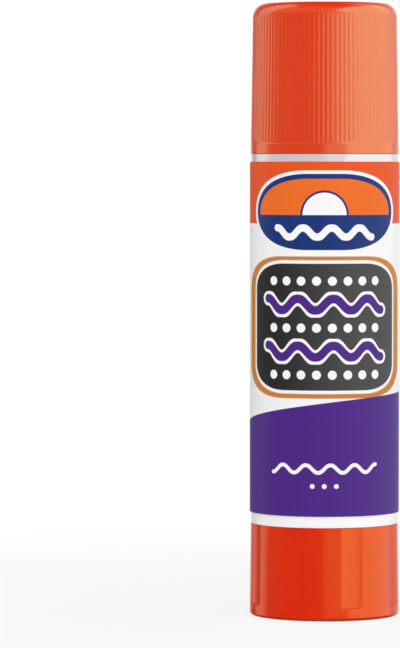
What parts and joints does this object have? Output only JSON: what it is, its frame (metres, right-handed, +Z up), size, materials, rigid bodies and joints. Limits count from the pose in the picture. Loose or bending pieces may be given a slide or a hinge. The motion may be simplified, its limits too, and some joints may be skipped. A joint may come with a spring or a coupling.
{
  "type": "glue stick",
  "caption": "Twist-up glue stick: ribbed pull-off cap over a labelled barrel, and a scalloped base knob whose screw lifts a cup of solid glue.",
  "frame": {"origin": "centre of the foot ring, on the plane that the stick stands on", "axes": "+Z up along the stick's axis, and the label's front faces -Y"},
  "size_m": [0.02, 0.02, 0.0818],
  "materials": {
    "cap_orange": "satin moulded",
    "knob_orange": "satin moulded",
    "barrel_white": "satin moulded",
    "carrier_white": "moulded",
    "label_film": "printed film",
    "glue_violet": "waxy"
  },
  "bodies": {
    "barrel": {"barrel": "barrel_white", "label": "label_film"},
    "knob": {"twist_knob": "knob_orange"},
    "carrier": {"carrier": "carrier_white", "glue": "glue_violet"},
    "cap": {"cap": "cap_orange"}
  },
  "joints": [
    {"name": "knob_twist", "type": "hinge", "parent": "barrel", "child": "knob", "pos_m": [0, 0, 0.0129], "axis": [0, 0, 1], "range_deg": [0, 3060]},
    {"name": "carrier_lift", "type": "slide", "parent": "barrel", "child": "carrier", "axis": [0, 0, 1], "range_m": [0, 0.0409]},
    {"name": "cap_pull", "type": "slide", "parent": "carrier", "child": "cap", "axis": [0, 0, 1], "range_m": [0, 0.03]}
  ],
  "couplings": [
    {"joint": "carrier_lift", "follows": "knob_twist", "m_per_rad": 0.00076394}
  ]
}
